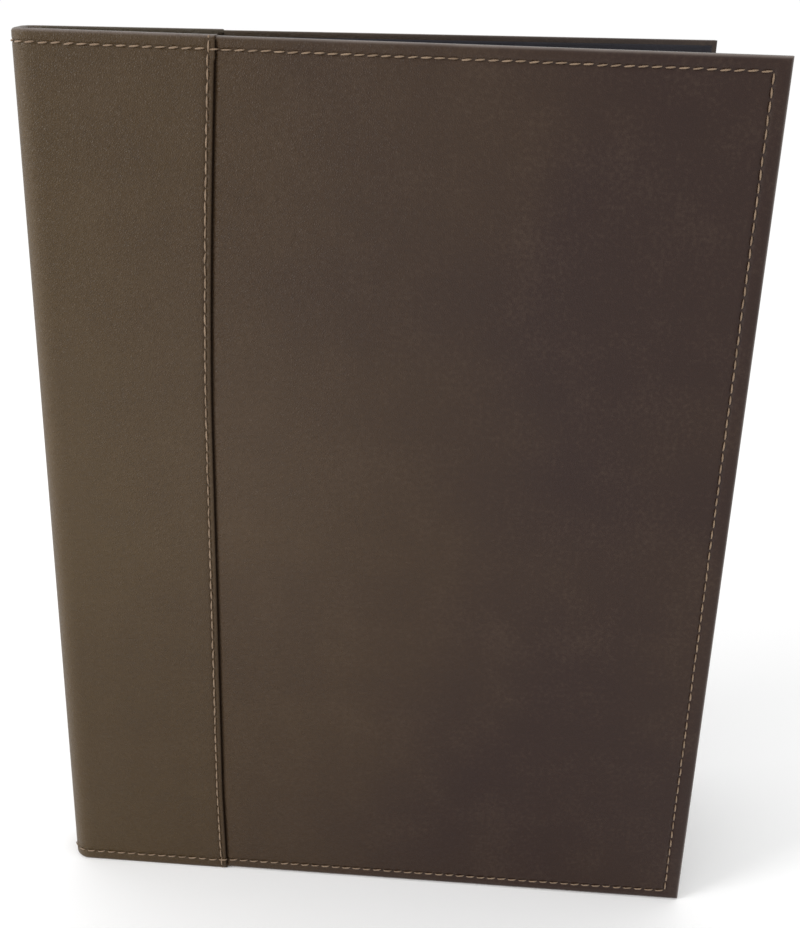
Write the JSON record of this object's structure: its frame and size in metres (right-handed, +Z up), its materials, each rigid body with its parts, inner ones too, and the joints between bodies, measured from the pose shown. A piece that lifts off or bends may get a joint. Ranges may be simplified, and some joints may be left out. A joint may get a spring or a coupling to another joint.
{
  "type": "leather portfolio case",
  "caption": "Book-style leather folder with a wrapped spine strip and contrast stitching, holding a slide-out writing pad, document and card pockets and a pen loop.",
  "frame": {"origin": "middle of the case's box at the level of its lower edges, standing as a V", "axes": "+Z up along the spine, the spine towards -X, the front cover towards -Y, the covers opening towards +X"},
  "size_m": [0.2402, 0.0836, 0.3175],
  "materials": {
    "panel_leather": "satin",
    "strip_leather": "satin",
    "board": "matte",
    "lining": "matte",
    "pocket": "matte",
    "thread": "matte",
    "elastic": "matte",
    "paper": "matte",
    "tape": "matte"
  },
  "bodies": {
    "back_cover": {"back_panel": "panel_leather", "back_strip": "strip_leather", "back_board": "board", "back_lining": "lining", "back_edge_thread": "thread", "back_seam_thread": "thread", "pad_pocket": "pocket", "pad_pocket_thread": "thread"},
    "spine": {"spine_leather": "strip_leather", "spine_board": "board", "spine_lining": "lining", "spine_thread_bottom": "thread", "spine_thread_top": "thread", "pen_loop": "elastic"},
    "front_cover": {"front_panel": "panel_leather", "front_strip": "strip_leather", "front_board": "board", "front_lining": "lining", "front_edge_thread": "thread", "front_seam_thread": "thread", "document_pocket": "pocket", "document_pocket_thread": "thread", "card_pocket_1": "pocket", "card_pocket_thread_1": "thread", "card_pocket_2": "pocket", "card_pocket_thread_2": "thread"},
    "writing_pad": {"pad_backing": "board", "paper_block": "paper", "pad_tape": "tape"}
  },
  "joints": [
    {"name": "back_fold", "type": "hinge", "parent": "back_cover", "child": "spine", "pos_m": [-0.11833, 0.00882, 0], "axis": [0, 0, -1], "range_deg": [-7.75, 82.25]},
    {"name": "front_fold", "type": "hinge", "parent": "spine", "child": "front_cover", "pos_m": [-0.11833, -0.00882, 0], "axis": [0, 0, -1], "range_deg": [-7.75, 82.25]},
    {"name": "pad_slide", "type": "slide", "parent": "back_cover", "child": "writing_pad", "axis": [0, 0, 1], "range_m": [0, 0.145]}
  ]
}
